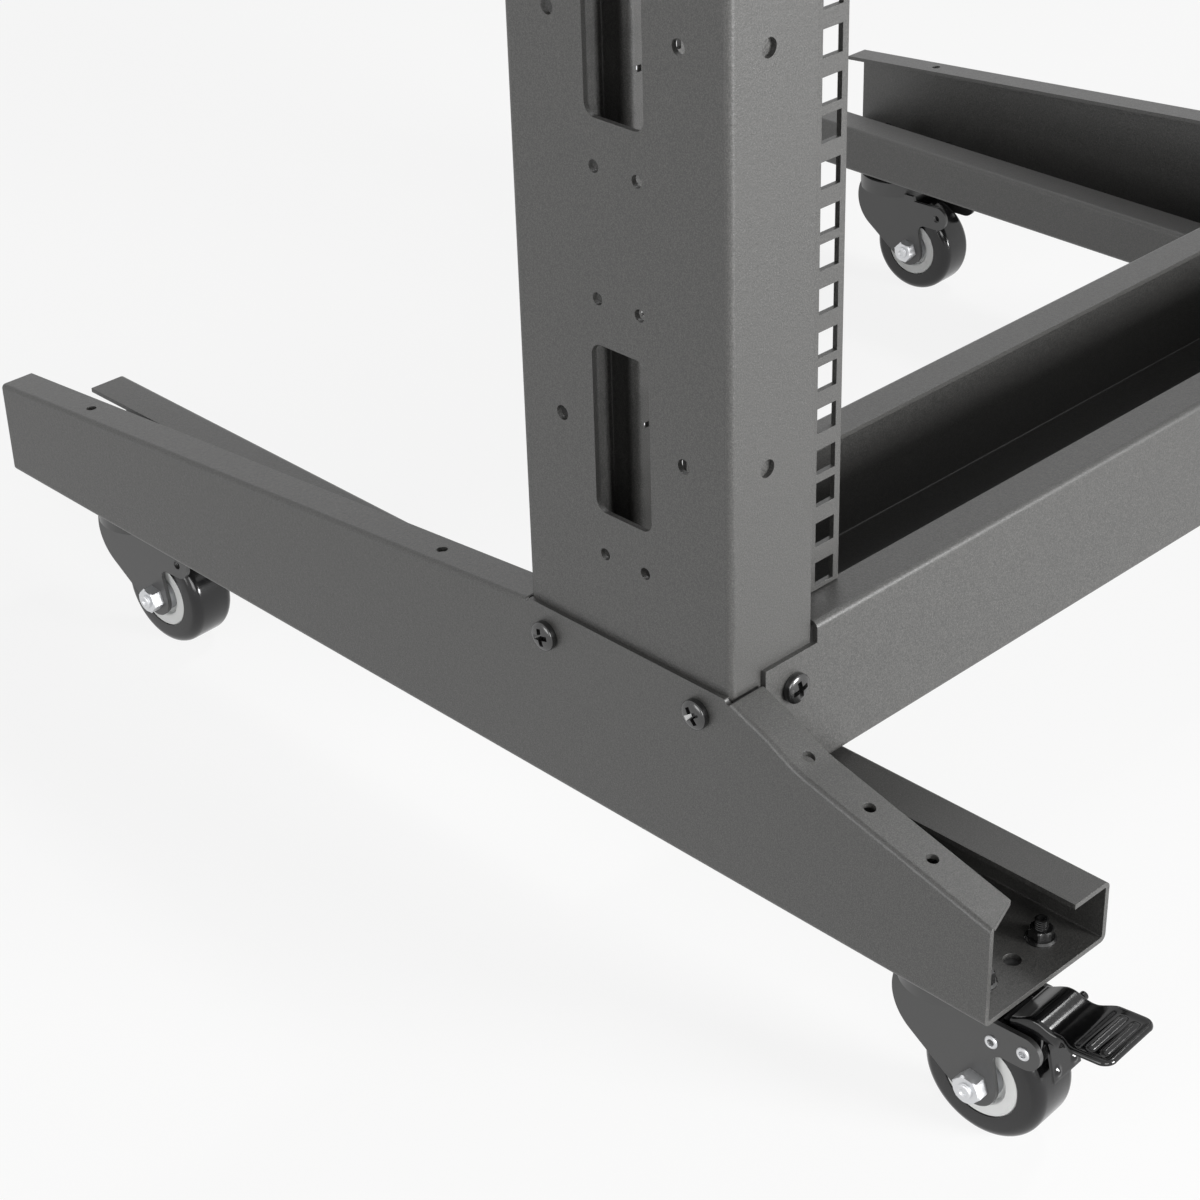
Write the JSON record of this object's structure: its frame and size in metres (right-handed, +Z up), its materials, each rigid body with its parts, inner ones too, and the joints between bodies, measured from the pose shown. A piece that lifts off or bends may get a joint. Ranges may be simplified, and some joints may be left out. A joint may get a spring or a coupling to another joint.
{
  "type": "two post open frame rack",
  "caption": "Open frame rack for 19 inch equipment: posts on channel feet, joined by channel beams, with square hole rails and swivel casters with lock pedals in front.",
  "frame": {"origin": "on the floor, under the centre of the whole rack's box", "axes": "+Z up, +X along the crossbeams, the equipment faces -Y"},
  "size_m": [0.592, 0.6002, 0.9315],
  "materials": {
    "powder_coat": "fine textured powder coat, dark grey",
    "caster_steel": "satin black electrocoat",
    "zinc_bolt": "bright zinc plate",
    "hub_plastic": "moulded, light grey",
    "tread": "smooth cast polyurethane, black",
    "brake_steel": "gloss black"
  },
  "bodies": {
    "frame": {"foot_left": "powder_coat", "foot_right": "powder_coat", "post_left": "powder_coat", "post_right": "powder_coat", "beam_bottom": "powder_coat", "beam_top": "powder_coat", "rail_front_left": "powder_coat", "rail_front_right": "powder_coat", "rail_rear_left": "powder_coat", "rail_rear_right": "powder_coat", "caster_plate_front_left": "caster_steel", "caster_plate_front_right": "caster_steel", "caster_plate_back_left": "caster_steel", "caster_plate_back_right": "caster_steel"},
    "swivel_front_left": {"caster_fork_front_left": "caster_steel", "caster_axle_front_left": "zinc_bolt", "brake_leaf_front_left": "brake_steel", "wheel_bearing_front_left": "zinc_bolt"},
    "wheel_front_left": {"wheel_hub_front_left": "hub_plastic", "wheel_tyre_front_left": "tread"},
    "pedal_front_left": {"brake_pedal_front_left": "brake_steel"},
    "swivel_front_right": {"caster_fork_front_right": "caster_steel", "caster_axle_front_right": "zinc_bolt", "brake_leaf_front_right": "brake_steel", "wheel_bearing_front_right": "zinc_bolt"},
    "wheel_front_right": {"wheel_hub_front_right": "hub_plastic", "wheel_tyre_front_right": "tread"},
    "pedal_front_right": {"brake_pedal_front_right": "brake_steel"},
    "swivel_back_left": {"caster_fork_back_left": "caster_steel", "caster_axle_back_left": "zinc_bolt", "wheel_bearing_back_left": "zinc_bolt"},
    "wheel_back_left": {"wheel_hub_back_left": "hub_plastic", "wheel_tyre_back_left": "tread"},
    "swivel_back_right": {"caster_fork_back_right": "caster_steel", "caster_axle_back_right": "zinc_bolt", "wheel_bearing_back_right": "zinc_bolt"},
    "wheel_back_right": {"wheel_hub_back_right": "hub_plastic", "wheel_tyre_back_right": "tread"}
  },
  "joints": [
    {"name": "swivel_front_left", "type": "hinge", "parent": "frame", "child": "swivel_front_left", "pos_m": [-0.2635, -0.22856, 0.071], "axis": [0, 0, 1], "continuous": true},
    {"name": "roll_front_left", "type": "hinge", "parent": "swivel_front_left", "child": "wheel_front_left", "pos_m": [-0.26234, -0.24753, 0.025], "axis": [0.9981, 0.061, 0], "continuous": true},
    {"name": "brake_front_left", "type": "hinge", "parent": "swivel_front_left", "child": "pedal_front_left", "pos_m": [-0.26118, -0.26649, 0.0487], "axis": [0.9981, 0.061, 0], "range_deg": [0, 12]},
    {"name": "swivel_front_right", "type": "hinge", "parent": "frame", "child": "swivel_front_right", "pos_m": [0.2635, -0.22856, 0.071], "axis": [0, 0, 1], "continuous": true},
    {"name": "roll_front_right", "type": "hinge", "parent": "swivel_front_right", "child": "wheel_front_right", "pos_m": [0.26466, -0.24753, 0.025], "axis": [0.9981, 0.061, 0], "continuous": true},
    {"name": "brake_front_right", "type": "hinge", "parent": "swivel_front_right", "child": "pedal_front_right", "pos_m": [0.26582, -0.26649, 0.0487], "axis": [0.9981, 0.061, 0], "range_deg": [0, 12]},
    {"name": "swivel_back_left", "type": "hinge", "parent": "frame", "child": "swivel_back_left", "pos_m": [-0.2635, 0.24663, 0.071], "axis": [0, 0, 1], "continuous": true},
    {"name": "roll_back_left", "type": "hinge", "parent": "swivel_back_left", "child": "wheel_back_left", "pos_m": [-0.26234, 0.22767, 0.025], "axis": [0.9981, 0.061, 0], "continuous": true},
    {"name": "swivel_back_right", "type": "hinge", "parent": "frame", "child": "swivel_back_right", "pos_m": [0.2635, 0.24663, 0.071], "axis": [0, 0, 1], "continuous": true},
    {"name": "roll_back_right", "type": "hinge", "parent": "swivel_back_right", "child": "wheel_back_right", "pos_m": [0.26466, 0.22767, 0.025], "axis": [0.9981, 0.061, 0], "continuous": true}
  ]
}
